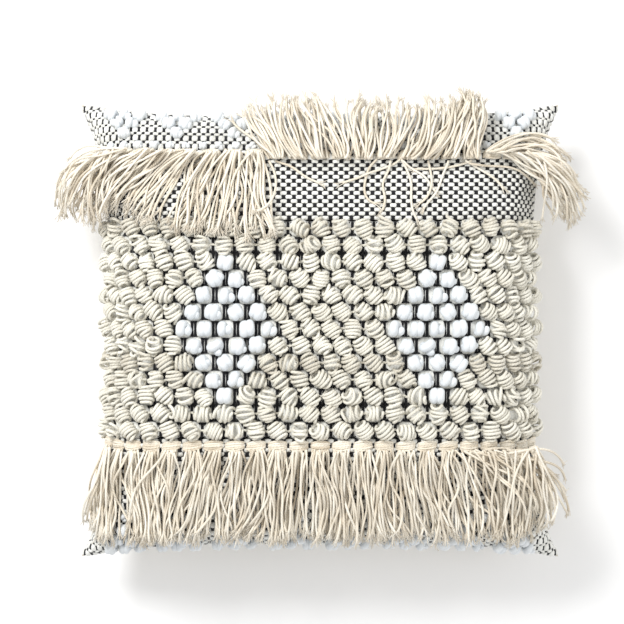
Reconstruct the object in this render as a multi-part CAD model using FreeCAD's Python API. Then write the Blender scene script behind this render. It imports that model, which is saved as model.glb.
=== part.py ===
"""A square floor cushion: a handwoven cover with knots, bobbles and fringes, a zip, and a filled insert.

Millimetres, +Z up. The cushion lies on its back with the decorated front upwards. The fringes hang
towards -Y, and the origin is on the floor under its middle.
"""
import FreeCAD
import Part
import math
import os

from FreeCAD import Vector

# ---------------------------------------------------------------- driving dimensions
COVER_SIDE = 600.0           # flat side of the square cover
CORNER_X = 298.5             # a sewn corner of the filled cover
CORNER_Y = 284.0
EDGE_MIDDLE = 267.0          # how far the middle of each edge is from the centre, pulled in by the filling
CROWN = 89.0                 # rise of the front above the seam, and of the back below it before it flattens
CROWN_SPREAD = 0.15          # how much the cloth's rise near the edges spreads its middle in plan
FLOOR_DEPTH = 82.0           # depth of the back below the seam where the floor flattens it
FRONT_CLOTH = 2.0            # woven ground of the front
BACK_CLOTH = 1.2             # plain canvas of the back
CASING_CLOTH = 0.6           # cotton casing of the insert
INSERT_SHORTFALL = 15.0      # how far the insert stops short of the cover's edge seam
LAYER_GAP = 0.3              # clearance between layers
SURFACE_SAMPLES = 24         # spans across a crowned surface

# bands of the front, measured along the cloth down from the top seam
UPPER_FRINGE_ROOT = 86.0
KNOTS_START = 167.0
KNOTS_END = 429.0
LOWER_FRINGE_ROOT = 437.0

KNOT_ROWS = 13
KNOTS_IN_ROW = 23
KNOT_PITCH = 25.6            # along the cloth
KNOT_LENGTH = 22.0
KNOT_WIDTH = 17.0
KNOT_HEIGHT = 17.0
KNOT_TURN = -38.0            # a knot's long axis, in degrees from the row: it runs down to the right

BOBBLE_LENGTH = 21.0
BOBBLE_WIDTH = 17.0
BOBBLE_HEIGHT = 18.0
DIAMOND_CENTRES = (-113.0, 140.0)
DIAMOND_HALF_ROWS = 5        # bobbles in the widest row
DIAMOND_MIDDLE_ROW = 6       # knot row, counted from the top, that the widest row replaces
TRIANGLE_PITCH = 66.5        # along the cloth, one triangle of bobbles to the next
TRIANGLES = 8
TRIANGLE_ROWS = 3
TRIANGLE_ROW_PITCH = 15.5
TRIANGLE_TIP = 55.0          # tip bobble of a triangle, from the edge seam along the cloth
BORDER_ROW = 73.0            # row of low bobbles between the triangles and the fringe, from the edge seam
BORDER_BOBBLES = 27
BORDER_WIDTH = 10.5
BAND_BOBBLE_PITCH = 19.5
BAND_BOBBLE_LENGTH = 18.0
BAND_BOBBLE_WIDTH = 13.0
BAND_BOBBLE_HEIGHT = 9.0

TASSEL_PITCH = 25.4
TASSELS = 23
LOWER_RUN = 98.0             # how far a tassel reaches down the cloth past its knot
UPPER_LEFT_RUN = 56.0
UPPER_RIGHT_RUN = 62.0
FLIPPED_RUN = 48.0           # how far a flipped tassel reaches up the cloth before it folds back
FLIPPED_COUNT = 12
LEFT_COUNT = 7
TASSEL_THICKNESS = 7.0
TASSEL_SECTIONS = 7
CLEAR_OF_CLOTH = 1.3
TASSEL_NECK = 14.0
TASSEL_END = 21.0
WRAP_WIDTH = 20.0
WRAP_DEPTH = 13.0
WRAP_HEIGHT = 10.0
FRINGE_REACH = 322.0         # the outermost fringe ends, left and right of the middle
LOOSE_END_Y = 175.0

# closed-end zip in the lower edge seam
ZIP_LENGTH = 400.0
ZIP_Y = -264.0               # outer face of the coils
ZIP_SLOT_LENGTH = 424.0
ZIP_SLOT_HEIGHT = 10.0       # between the two lips of the cover
SLOT_DEPTH = 12.0
COIL_WIDTH = 2.2
COIL_DEPTH = 1.8
COIL_GAP = 1.6               # between the two coil rows, where the slider's post runs
TAPE_WIDTH = 12.0
TAPE_THICKNESS = 0.6
SLIDER_LENGTH = 11.0
SLIDER_HEIGHT = 8.4
SLIDER_PLATE = 1.0
SLIDER_CLEARANCE = 0.4
SLIDER_POST = 0.9
SLIDER_CLOSED_X = 180.0      # middle of the slider with the zip closed
SLIDER_TRAVEL = 345.0
STOP_LENGTH = 3.0
STOP_HEIGHT = 1.0
STOP_CLEARANCE = 0.5         # between a stop and the slider at the end of its travel
HINGE_PIN = 1.4
HINGE_STAND_OFF = 2.0        # hinge pin above the slider's outer plate
LUG_THICKNESS = 0.9
LUG_WIDTH = 2.6
BARREL_WIDTH = 2.0
BARREL_DIAMETER = 3.0
BARREL_CLEARANCE = 0.25      # each side of the barrel, and round its pin
TAB_NECK = 4.0
TAB_LENGTH = 30.0
TAB_WIDTH = 6.0
TAB_THICKNESS = 1.2
TAB_HOLE = 2.6

HALF_FLAT = COVER_SIDE / 2
OVER_BOBBLES = BAND_BOBBLE_HEIGHT + CLEAR_OF_CLOTH
SEAM_HEIGHT = FLOOR_DEPTH


# ---------------------------------------------------------------- the crowned shape
def hump(u, v):
    """Rise of the front above the seam plane, as a share of the crown. u and v run from -1 to 1."""
    return math.sqrt(max(0.0, (1 - u**4) * (1 - v**4)))


def skin(u, v, inset=0.0, side=1, shortfall=0.0):
    """A point of the front (side 1) or back (side -1) surface, `inset` inside the cover's outer face.

    `shortfall` shrinks the outline only.
    """
    edge = EDGE_MIDDLE - inset - shortfall
    x = u * (edge + (CORNER_X - EDGE_MIDDLE) * v**4)
    y = v * (edge + (CORNER_Y - EDGE_MIDDLE) * u**4)
    return Vector(x, y, SEAM_HEIGHT + side * (CROWN - inset) * hump(u, v))


def front_normal(u, v):
    step = 1e-3
    u = max(-1 + 2 * step, min(1 - 2 * step, u))
    v = max(-1 + 2 * step, min(1 - 2 * step, v))
    along_u = skin(u + step, v) - skin(u - step, v)
    along_v = skin(u, v + step) - skin(u, v - step)
    return along_u.cross(along_v).normalize()


def lifted(u, v, height):
    """A point `height` above the front surface, along its normal."""
    return skin(u, v) + front_normal(u, v) * height


def spread(share, other):
    """Where a share of the half cloth lies on the crown, whose steep edge crowds the cloth in plan."""
    return share * (1 + CROWN_SPREAD * math.sqrt(max(0.0, 1 - other**4)) * (1 - share**6))


def on_cloth(x, down):
    """u and v of a place on the cloth, `x` from its middle and `down` from its top seam."""
    across = x / HALF_FLAT
    along = (HALF_FLAT - down) / HALF_FLAT
    return spread(across, along), spread(along, across)


def crowned_face(inset, side, shortfall):
    spacing = [math.sin(math.pi / 2 * (2 * k / SURFACE_SAMPLES - 1)) for k in range(SURFACE_SAMPLES + 1)]
    surface = Part.BSplineSurface()
    surface.interpolate([[skin(u, v, inset, side, shortfall) for v in spacing] for u in spacing])
    return surface.toShape()


def flattened(solid, inset):
    """The solid less what the floor would press flat."""
    corner = Vector(-HALF_FLAT, -HALF_FLAT, inset - CROWN)
    return solid.cut(Part.makeBox(COVER_SIDE, COVER_SIDE, CROWN, corner))


def half_cushion(inset, side, shortfall=0.0):
    """The solid between the seam plane and the front or back surface."""
    crown = crowned_face(inset, side, shortfall)
    base = Part.Face(Part.Wire(Part.__sortEdges__(crown.Edges)))
    solid = closed_solid([crown, base])
    return solid if side > 0 else flattened(solid, inset)


def whole_cushion(inset, shortfall):
    """Front and back in one solid."""
    faces = [crowned_face(inset, side, shortfall) for side in (1, -1)]
    return flattened(closed_solid(faces), inset)


def closed_solid(faces):
    shell = Part.Shell(Part.makeCompound(faces).Faces)
    shell.sewShape()
    solid = Part.Solid(shell)
    if solid.Volume < 0:
        solid.reverse()
    return solid


def panel(inset, thickness, side, shortfall=0.0):
    """One cloth panel of the cushion, front or back, up to its edge seam."""
    inside = half_cushion(inset + thickness, side, shortfall)
    return half_cushion(inset, side, shortfall).cut(inside)


def cover_panel(thickness, side):
    """A panel of the cover, with the slot in its lower edge that the zip closes."""
    half = ZIP_SLOT_HEIGHT / 2
    slot = zip_box(ZIP_SLOT_LENGTH, -HALF_FLAT, ZIP_Y + SLOT_DEPTH, -half, half)
    return panel(0.0, thickness, side).cut(slot)


# ---------------------------------------------------------------- decoration
def lump(x, down, length, width, height, turn=0.0):
    """A rounded lump of yarn standing on the front cloth: an ellipsoid tilted with the surface."""
    u, v = on_cloth(x, down)
    at = lifted(u, v, LAYER_GAP + height / 2)
    ball = Part.makeSphere(0.5)
    stretch = FreeCAD.Matrix()
    stretch.scale(length, width, height)
    ball = ball.transformGeometry(stretch)
    tilt = FreeCAD.Rotation(Vector(0, 0, 1), front_normal(u, v))
    spin = FreeCAD.Rotation(Vector(0, 0, 1), turn)
    ball.Placement = FreeCAD.Placement(at, tilt.multiply(spin))
    return ball


def row_down(row):
    """Distance of a knot row's middle from the top seam, along the cloth. Rows count from 0 at the top."""
    return KNOTS_START + (row + 0.5) * (KNOTS_END - KNOTS_START) / KNOT_ROWS


def diamond_count(row):
    """How many bobbles a diamond has in a knot row."""
    return max(0, DIAMOND_HALF_ROWS - abs(row - DIAMOND_MIDDLE_ROW))


def diamond_places(centre, row):
    """Where a diamond's bobbles stand in a knot row, across the cloth."""
    count = diamond_count(row)
    return [centre + (k - (count - 1) / 2) * KNOT_PITCH for k in range(count)]


def knot_row(row):
    """One knot row: a single thick cord laid in as a weft and pulled up into a knot at every pitch."""
    count = KNOTS_IN_ROW - row % 2
    taken = diamond_places(DIAMOND_CENTRES[0], row) + diamond_places(DIAMOND_CENTRES[1], row)
    knots = []
    for k in range(count):
        x = (k - (count - 1) / 2) * KNOT_PITCH
        if all(abs(x - place) >= KNOT_PITCH for place in taken):
            knots.append(lump(x, row_down(row), KNOT_LENGTH, KNOT_WIDTH, KNOT_HEIGHT, KNOT_TURN))
    return Part.makeCompound(knots)


def diamond(centre):
    """The white bobbles of one diamond, one roving pulled up at every place."""
    return Part.makeCompound([
        lump(x, row_down(row), BOBBLE_LENGTH, BOBBLE_WIDTH, BOBBLE_HEIGHT)
        for row in range(KNOT_ROWS)
        for x in diamond_places(centre, row)
    ])


def border_bobbles(upper):
    """The row of low bobbles between a band's triangles and its fringe."""
    down = BORDER_ROW if upper else COVER_SIDE - BORDER_ROW
    middle = (BORDER_BOBBLES - 1) / 2
    return [
        lump((k - middle) * BAND_BOBBLE_PITCH, down, BAND_BOBBLE_LENGTH, BORDER_WIDTH, BAND_BOBBLE_HEIGHT)
        for k in range(BORDER_BOBBLES)
    ]


def band_bobbles(upper):
    """The white bobbles of a block-woven band: triangles that point to the middle, and a border row."""
    bobbles = border_bobbles(upper)
    for triangle in range(TRIANGLES):
        centre = (triangle - (TRIANGLES - 1) / 2) * TRIANGLE_PITCH
        for row in range(TRIANGLE_ROWS):
            from_seam = TRIANGLE_TIP - row * TRIANGLE_ROW_PITCH
            down = from_seam if upper else COVER_SIDE - from_seam
            for k in range(row + 1):
                x = centre + (k - row / 2) * BAND_BOBBLE_PITCH
                bobbles.append(lump(x, down, BAND_BOBBLE_LENGTH, BAND_BOBBLE_WIDTH, BAND_BOBBLE_HEIGHT))
    return Part.makeCompound(bobbles)


# ---------------------------------------------------------------- fringes
def section(at, along, up, width, thickness):
    """An eight-sided section of a tassel, square to its run."""
    across = along.cross(up).normalize()
    rise = across.cross(along).normalize()
    points = []
    for k in range(8):
        angle = math.pi / 8 + k * math.pi / 4
        out = across * (math.cos(angle) * width / 2)
        points.append(at + out + rise * (math.sin(angle) * thickness / 2))
    return Part.makePolygon(points + points[:1])


def tassel(points, ups, thickness):
    """A hank of cord lying along `points`, flat to `ups`: narrow at its knot and wider at its frayed end."""
    last = len(points) - 1
    rings = []
    for k, at in enumerate(points):
        along = points[min(k + 1, last)] - points[max(k - 1, 0)]
        width = TASSEL_END - (TASSEL_END - TASSEL_NECK) * (1 - k / last) ** 3
        rings.append(section(at, along, ups[k], width, thickness))
    return Part.makeLoft(rings, True, True)


def tassel_x(k):
    return (k - (TASSELS - 1) / 2) * TASSEL_PITCH


def surface_tassel(x, root_down, sweep, run, thickness=TASSEL_THICKNESS, clearance=CLEAR_OF_CLOTH):
    """A tassel that lies over the front cloth from its root, `run` along the cloth and `sweep` sideways."""
    height = clearance + thickness / 2
    points, ups = [], []
    for part in range(TASSEL_SECTIONS):
        share = part / (TASSEL_SECTIONS - 1)
        down = root_down + math.copysign(WRAP_DEPTH, run) + run * share
        u, v = on_cloth(x + sweep * share * share, down)
        points.append(lifted(u, v, height))
        ups.append(front_normal(u, v))
    return tassel(points, ups, thickness)


def wraps(root_down):
    """The row of cow-hitch knots that tie a fringe to the cloth."""
    return Part.makeCompound([
        lump(tassel_x(k), root_down, WRAP_WIDTH, WRAP_DEPTH - 2, WRAP_HEIGHT)
        for k in range(TASSELS)
    ])


def loose_tassel(root_x, root_down, end):
    """A tassel that leaves the cushion past its side and hangs out to the point `end`."""
    u, v = on_cloth(root_x, root_down + WRAP_DEPTH)
    root = lifted(u, v, CLEAR_OF_CLOTH + TASSEL_THICKNESS / 2)
    side_up = front_normal(u, v)
    points, ups = [], []
    for part in range(TASSEL_SECTIONS):
        share = part / (TASSEL_SECTIONS - 1)
        at = root + (end - root) * share
        at.z = root.z + (end.z - root.z) * share * share
        points.append(at)
        ups.append(side_up * (1 - share) + Vector(0, 0, share))
    return tassel(points, ups, TASSEL_THICKNESS)


# ---------------------------------------------------------------- zip
def zip_box(x_size, y_from, y_to, z_from, z_to, x_middle=0.0):
    """A block given by its y and its height above the seam."""
    return Part.makeBox(
        x_size, y_to - y_from, z_to - z_from, Vector(x_middle - x_size / 2, y_from, SEAM_HEIGHT + z_from)
    )


def zip_tape(side):
    """Woven tape, sewn into the seam allowance behind the coils."""
    low = COIL_GAP / 2 + COIL_WIDTH * 0.3
    z = sorted((side * low, side * (low + TAPE_WIDTH)))
    back = ZIP_Y + COIL_DEPTH
    return zip_box(ZIP_LENGTH + 20, back, back + TAPE_THICKNESS, z[0], z[1])


def zip_coil(side):
    """Nylon coil, sewn to the face of its tape."""
    z = sorted((side * COIL_GAP / 2, side * (COIL_GAP / 2 + COIL_WIDTH)))
    return zip_box(ZIP_LENGTH, ZIP_Y, ZIP_Y + COIL_DEPTH, z[0], z[1])


def slider_face():
    """y of the outer face of the slider's outer plate."""
    return ZIP_Y - SLIDER_CLEARANCE - SLIDER_PLATE


def hinge_y():
    return slider_face() - HINGE_STAND_OFF


def slider():
    """The slider: two plates, the post between them, flanges, and two lugs with the tab's pin."""
    half = SLIDER_HEIGHT / 2
    outer_back = ZIP_Y - SLIDER_CLEARANCE
    inner_front = ZIP_Y + COIL_DEPTH + TAPE_THICKNESS + SLIDER_CLEARANCE
    flange_inside = COIL_GAP / 2 + COIL_WIDTH + SLIDER_CLEARANCE
    flange_back = ZIP_Y + COIL_DEPTH - SLIDER_CLEARANCE
    x = SLIDER_CLOSED_X
    body = zip_box(SLIDER_LENGTH, slider_face(), outer_back, -half, half, x)
    inner = zip_box(SLIDER_LENGTH, inner_front, inner_front + SLIDER_PLATE, -half, half, x)
    post_length = SLIDER_LENGTH / 3
    post = zip_box(
        post_length, slider_face(), inner_front + SLIDER_PLATE, -SLIDER_POST / 2, SLIDER_POST / 2,
        x + SLIDER_LENGTH / 2 - post_length / 2,
    )
    parts = [inner, post]
    for side in (-1, 1):
        z = sorted((side * flange_inside, side * half))
        parts.append(zip_box(SLIDER_LENGTH, outer_back, flange_back, z[0], z[1], x))
        lug_inside = BARREL_WIDTH / 2 + BARREL_CLEARANCE
        z = sorted((side * lug_inside, side * (lug_inside + LUG_THICKNESS)))
        lug_top = hinge_y() - LUG_WIDTH / 2
        parts.append(zip_box(LUG_WIDTH, lug_top, slider_face(), z[0], z[1], x))
    pin_length = BARREL_WIDTH + 2 * BARREL_CLEARANCE + 2 * LUG_THICKNESS
    parts.append(pin(HINGE_PIN, pin_length))
    return body.fuse(parts).removeSplitter()


def pin(diameter, length):
    """A round bar on the tab's hinge axis, upright, centred on the seam."""
    foot = Vector(SLIDER_CLOSED_X, hinge_y(), SEAM_HEIGHT - length / 2)
    return Part.makeCylinder(diameter / 2, length, foot)


def pull_tab():
    """The pull tab: a barrel on the slider's pin, a neck that clears the lugs, and a tab with an eye."""
    half = TAB_THICKNESS / 2
    x = SLIDER_CLOSED_X
    barrel = pin(BARREL_DIAMETER, BARREL_WIDTH)
    neck = zip_box(TAB_NECK + 2, hinge_y() - half, hinge_y() + half, -BARREL_WIDTH / 2, BARREL_WIDTH / 2,
                   x - TAB_NECK / 2 - 1)
    plate_length = TAB_LENGTH - TAB_NECK - TAB_WIDTH / 2
    plate_middle = x - TAB_NECK - plate_length / 2
    plate = zip_box(plate_length, hinge_y() - half, hinge_y() + half, -TAB_WIDTH / 2, TAB_WIDTH / 2,
                    plate_middle)
    end_x = x - TAB_LENGTH + TAB_WIDTH / 2
    along_y = Vector(0, 1, 0)
    end_foot = Vector(end_x, hinge_y() - half, SEAM_HEIGHT)
    round_end = Part.makeCylinder(TAB_WIDTH / 2, TAB_THICKNESS, end_foot, along_y)
    eye = Part.makeCylinder(TAB_HOLE / 2, TAB_THICKNESS, end_foot, along_y)
    bore = pin(HINGE_PIN + 2 * BARREL_CLEARANCE, BARREL_WIDTH)
    return barrel.fuse([neck, plate, round_end]).removeSplitter().cut(bore).cut(eye)


def zip_stop(x_middle, z_from, z_to):
    """A stop crimped on the face of the coils."""
    return zip_box(STOP_LENGTH, ZIP_Y - STOP_HEIGHT, ZIP_Y, z_from, z_to, x_middle)


def top_stops():
    x = SLIDER_CLOSED_X + SLIDER_LENGTH / 2 + STOP_CLEARANCE + STOP_LENGTH / 2
    low, high = COIL_GAP / 2, COIL_GAP / 2 + COIL_WIDTH
    return Part.makeCompound([zip_stop(x, low, high), zip_stop(x, -high, -low)])


def bottom_stop():
    x = SLIDER_CLOSED_X - SLIDER_TRAVEL - SLIDER_LENGTH / 2 - STOP_CLEARANCE - STOP_LENGTH / 2
    reach = COIL_GAP / 2 + COIL_WIDTH
    return zip_stop(x, -reach, reach)


# ---------------------------------------------------------------- every piece
def insert_parts():
    """The fibre fill and the two panels of its casing, inside the cover."""
    casing_inset = FRONT_CLOTH + LAYER_GAP
    fill_inset = casing_inset + CASING_CLOTH + LAYER_GAP
    return {
        "insert_fill": whole_cushion(fill_inset, INSERT_SHORTFALL),
        "insert_casing_front": panel(casing_inset, CASING_CLOTH, 1, INSERT_SHORTFALL),
        "insert_casing_back": panel(casing_inset, CASING_CLOTH, -1, INSERT_SHORTFALL),
    }


def upper_fringe():
    """The upper fringe lies three ways: down on the left, flipped up over the band, and out to the right."""
    right_from = LEFT_COUNT + FLIPPED_COUNT
    last = TASSELS - 1
    left_end = Vector(-FRINGE_REACH, LOOSE_END_Y, SEAM_HEIGHT)
    left = [loose_tassel(tassel_x(0), UPPER_FRINGE_ROOT, left_end)]
    for k in range(1, LEFT_COUNT):
        left.append(surface_tassel(tassel_x(k), UPPER_FRINGE_ROOT, 6 * (k - LEFT_COUNT), UPPER_LEFT_RUN))
    flipped = []
    thick = 2 * TASSEL_THICKNESS
    for k in range(LEFT_COUNT, right_from):
        flipped.append(surface_tassel(tassel_x(k), UPPER_FRINGE_ROOT, 4, -FLIPPED_RUN, thick, OVER_BOBBLES))
    right_end = Vector(FRINGE_REACH, LOOSE_END_Y, SEAM_HEIGHT)
    right = [loose_tassel(tassel_x(last), UPPER_FRINGE_ROOT, right_end)]
    for k in range(right_from, last):
        sweep = 8 * (k - right_from + 2)
        right.append(surface_tassel(tassel_x(k), UPPER_FRINGE_ROOT, sweep, UPPER_RIGHT_RUN))
    return {
        "upper_fringe_left": Part.makeCompound(left),
        "upper_fringe_flipped": Part.makeCompound(flipped),
        "upper_fringe_right": Part.makeCompound(right),
        "upper_fringe_knots": wraps(UPPER_FRINGE_ROOT),
    }


def lower_fringe():
    """The lower fringe hangs straight, its outer tassels a little outwards."""
    middle = (TASSELS - 1) / 2
    tassels = []
    for k in range(TASSELS):
        sweep = 0.7 * (k - middle)
        tassels.append(
            surface_tassel(tassel_x(k), LOWER_FRINGE_ROOT, sweep, LOWER_RUN, TASSEL_THICKNESS, OVER_BOBBLES)
        )
    return {"lower_fringe": Part.makeCompound(tassels), "lower_fringe_knots": wraps(LOWER_FRINGE_ROOT)}


def zip_parts():
    return {
        "zip_tape_upper": zip_tape(1),
        "zip_tape_lower": zip_tape(-1),
        "zip_coil_upper": zip_coil(1),
        "zip_coil_lower": zip_coil(-1),
        "zip_top_stops": top_stops(),
        "zip_bottom_stop": bottom_stop(),
        "zip_slider": slider(),
        "zip_pull_tab": pull_tab(),
    }


def all_parts():
    parts = {
        "cover_front": cover_panel(FRONT_CLOTH, 1),
        "cover_back": cover_panel(BACK_CLOTH, -1),
        "left_diamond_bobbles": diamond(DIAMOND_CENTRES[0]),
        "right_diamond_bobbles": diamond(DIAMOND_CENTRES[1]),
        "upper_band_bobbles": band_bobbles(True),
        "lower_band_bobbles": band_bobbles(False),
    }
    for row in range(KNOT_ROWS):
        parts[f"knot_row_{row + 1:02d}"] = knot_row(row)
    parts.update(insert_parts())
    parts.update(upper_fringe())
    parts.update(lower_fringe())
    parts.update(zip_parts())
    return parts


os.makedirs("parts", exist_ok=True)
box = FreeCAD.BoundBox()
for name, shape in all_parts().items():
    shape.exportStep(f"parts/{name}.step")
    box.add(shape.BoundBox)
    print(f"{name}: {len(shape.Solids)} solids, {shape.Volume / 1000:.2f} cm3, valid {shape.isValid()}")
print("box", [round(c, 2) for c in (box.XMin, box.XMax, box.YMin, box.YMax, box.ZMin, box.ZMax)])
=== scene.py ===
"""The looks of a square handwoven floor cushion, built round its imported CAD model, in metres.

x and y name places on the flat cloth before it is filled (-0.3 to 0.3 each way), and the surfaces carry them
onto the filled shape. The decorated front is up. Its fringes lie towards -Y, apart from the flipped part.
"""
import math

import bpy
import numpy as np
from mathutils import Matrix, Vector


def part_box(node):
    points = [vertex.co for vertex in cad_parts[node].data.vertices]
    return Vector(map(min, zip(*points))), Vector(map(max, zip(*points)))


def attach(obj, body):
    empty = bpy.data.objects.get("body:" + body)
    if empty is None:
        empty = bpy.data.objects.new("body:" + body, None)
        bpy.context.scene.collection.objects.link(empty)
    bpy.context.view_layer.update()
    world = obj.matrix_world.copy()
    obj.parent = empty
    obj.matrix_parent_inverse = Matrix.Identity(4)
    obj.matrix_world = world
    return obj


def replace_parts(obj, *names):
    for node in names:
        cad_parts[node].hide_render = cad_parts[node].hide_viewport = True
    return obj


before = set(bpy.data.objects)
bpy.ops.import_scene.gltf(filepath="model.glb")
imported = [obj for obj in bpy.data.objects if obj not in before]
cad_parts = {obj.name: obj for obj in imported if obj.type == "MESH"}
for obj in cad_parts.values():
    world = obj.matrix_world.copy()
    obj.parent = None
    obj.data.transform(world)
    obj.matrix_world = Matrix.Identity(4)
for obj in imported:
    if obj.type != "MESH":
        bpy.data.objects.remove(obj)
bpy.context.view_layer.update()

# ---------------------------------------------------------------- sizes
HALF = 0.300                     # half side of the flat cover
CORNER_X = 0.2985                # a sewn corner of the filled cover
CORNER_Y = 0.284
EDGE_MIDDLE = 0.267              # how far the middle of each edge is from the centre
CROWN = 0.089                    # front above the seam, and the unpressed back below it
CROWN_SPREAD = 0.15              # how much the cloth's rise near the edges spreads its middle in plan
SEAM_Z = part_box("cover_front")[0].z
FLOOR_SOFTNESS = 0.004           # how gently the back turns flat on the floor
MOST_MOVE = 0.005                # the simulation moves no point of the cover further than this
GRID = 48                        # cells across the simulated cloth
FINE = 300                       # cells across the carried surface

UPPER_ROOT = 0.214               # y of the upper fringe's root on the flat cloth
KNOTS_TOP = 0.133
KNOTS_BOTTOM = -0.129
LOWER_ROOT = -0.137
LOWER_BAND = -0.214
KNOT_ROWS = 13
KNOTS_IN_ROW = 23
KNOT_PITCH = 0.0256
ROW_PITCH = (KNOTS_TOP - KNOTS_BOTTOM) / KNOT_ROWS
DIAMOND_CENTRES = (-0.113, 0.140)
DIAMOND_MIDDLE_ROW = 6
DIAMOND_WIDEST = 5

STRAND_RADIUS = 0.00145
TASSELS = 23
TASSEL_PITCH = 0.0254
STRANDS = 18                     # cord ends in one tassel

TRIANGLES = 8
TRIANGLE_PITCH = 0.0665
TRIANGLE_TIP = 0.055
TRIANGLE_ROW_PITCH = 0.0155
BORDER_ROW = 0.073
BORDER_BOBBLES = 27
BAND_BOBBLE_PITCH = 0.0195

KNOT_CORD = 0.0019               # radius of the knots' cord
KNOT_COIL = 0.0086               # radius of its windings
KNOT_LENGTH = 0.0210
BOBBLE_CORD = 0.0056             # radius of the roving
BOBBLE_COIL = 0.0048
BOBBLE_LENGTH = 0.0145

ZIP_SLOT = 0.212                 # half length of the opening for the zip
SLOT_HALF = 0.005                # half its height

CHECK_PITCH = 0.0062             # one column of the checked weave
CHECK_ROW = 0.0052
BLOCK_PITCH = 0.0052
BLOCK_TALL = 0.0094
BLOCK_THIN = 0.0042


# ---------------------------------------------------------------- the filled shape
def hump(u, v):
    return np.sqrt(np.maximum(0.0, (1 - u**4) * (1 - v**4)))


def spread(share, other):
    """Where a share of the half cloth lies on the crown, whose steep edge crowds the cloth in plan."""
    return share * (1 + CROWN_SPREAD * np.sqrt(np.maximum(0.0, 1 - other**4)) * (1 - share**6))


def formula_shape(across, along, side):
    """Closed formulas for the filled cover about its seam plane: the simulation starts from them."""
    u, v = spread(across, along), spread(along, across)
    x = u * (EDGE_MIDDLE + (CORNER_X - EDGE_MIDDLE) * v**4)
    y = v * (EDGE_MIDDLE + (CORNER_Y - EDGE_MIDDLE) * u**4)
    return np.stack([x, y, side * CROWN * hump(u, v)], axis=-1)


def unit_grid(cells):
    line = np.linspace(-1, 1, cells + 1)
    return np.meshgrid(line, line, indexing="ij")


def grid_faces(index):
    """The four-sided faces between the neighbours of a grid of point numbers."""
    corners = [index[:-1, :-1], index[1:, :-1], index[1:, 1:], index[:-1, 1:]]
    return np.stack(corners, axis=-1).reshape(-1, 4)


def inflate():
    """Two square cloths sewn round their edges and blown up. Returns the front and back grids of points."""
    u, v = unit_grid(GRID)
    flat = np.stack([u * HALF, v * HALF, np.zeros_like(u)], axis=-1)
    count = (GRID + 1) ** 2
    front_index = np.arange(count).reshape(GRID + 1, GRID + 1)
    inner = np.zeros((GRID + 1, GRID + 1), bool)
    inner[1:-1, 1:-1] = True
    back_index = front_index.copy()
    back_index[inner] = count + np.arange(inner.sum())
    rest = np.concatenate([flat.reshape(-1, 3), flat[inner] - [0, 0, 1e-5]])
    begin = np.concatenate([formula_shape(u, v, 1).reshape(-1, 3), formula_shape(u, v, -1)[inner]])

    faces = np.concatenate([grid_faces(front_index), grid_faces(back_index)[:, ::-1]])
    mesh = bpy.data.meshes.new("inflate")
    mesh.from_pydata(rest.tolist(), [], faces.tolist())
    cloth = bpy.data.objects.new("inflate", mesh)
    bpy.context.scene.collection.objects.link(cloth)
    cloth.shape_key_add(name="Basis")
    key = cloth.shape_key_add(name="start")
    key.data.foreach_set("co", begin.ravel())
    key.value = 1.0
    zip_edge = front_index[np.abs(u[:, 0]) <= 0.72, 0]
    group = cloth.vertex_groups.new(name="zip_edge")
    group.add([int(i) for i in zip_edge], 1.0, "REPLACE")

    modifier = cloth.modifiers.new("cloth", "CLOTH")
    settings = modifier.settings
    settings.quality = 8
    settings.mass = 0.3
    settings.tension_stiffness = 80
    settings.compression_stiffness = 80
    settings.shear_stiffness = 20
    settings.bending_stiffness = 5
    settings.tension_damping = 10
    settings.compression_damping = 10
    settings.shear_damping = 10
    settings.bending_damping = 1
    settings.air_damping = 5
    settings.use_pressure = True
    settings.uniform_pressure_force = 1.5
    settings.rest_shape_key = cloth.data.shape_keys.key_blocks["Basis"]
    settings.vertex_group_mass = "zip_edge"
    settings.effector_weights.gravity = 0
    modifier.collision_settings.distance_min = 0.002
    frames = 60
    modifier.point_cache.frame_end = frames
    for step in range(1, frames + 1):
        bpy.context.scene.frame_set(step)
    evaluated = cloth.evaluated_get(bpy.context.evaluated_depsgraph_get())
    points = np.empty(len(rest) * 3)
    evaluated.data.vertices.foreach_get("co", points)
    moved = points.reshape(-1, 3) - begin
    distance = np.linalg.norm(moved, axis=-1, keepdims=True)
    points = begin + moved * np.minimum(1, MOST_MOVE / np.maximum(distance, 1e-9))
    bpy.data.objects.remove(cloth)
    bpy.context.scene.frame_set(1)
    return points[front_index], points[back_index]


def upsample_matrix(cells, fine):
    """Catmull-Rom weights that carry values on cells + 1 points to fine + 1 points."""
    weights = np.zeros((fine + 1, cells + 1))
    for row, t in enumerate(np.linspace(0, cells, fine + 1)):
        k = min(int(t), cells - 1)
        f = t - k
        shares = (
            -0.5 * f + f * f - 0.5 * f**3,
            1 - 2.5 * f * f + 1.5 * f**3,
            0.5 * f + 2 * f * f - 1.5 * f**3,
            -0.5 * f * f + 0.5 * f**3,
        )
        for offset, share in zip((-1, 0, 1, 2), shares):
            j = k + offset
            if j < 0:
                weights[row, 0] += 2 * share
                weights[row, 1] -= share
            elif j > cells:
                weights[row, cells] += 2 * share
                weights[row, cells - 1] -= share
            else:
                weights[row, j] += share
    return weights


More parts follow.
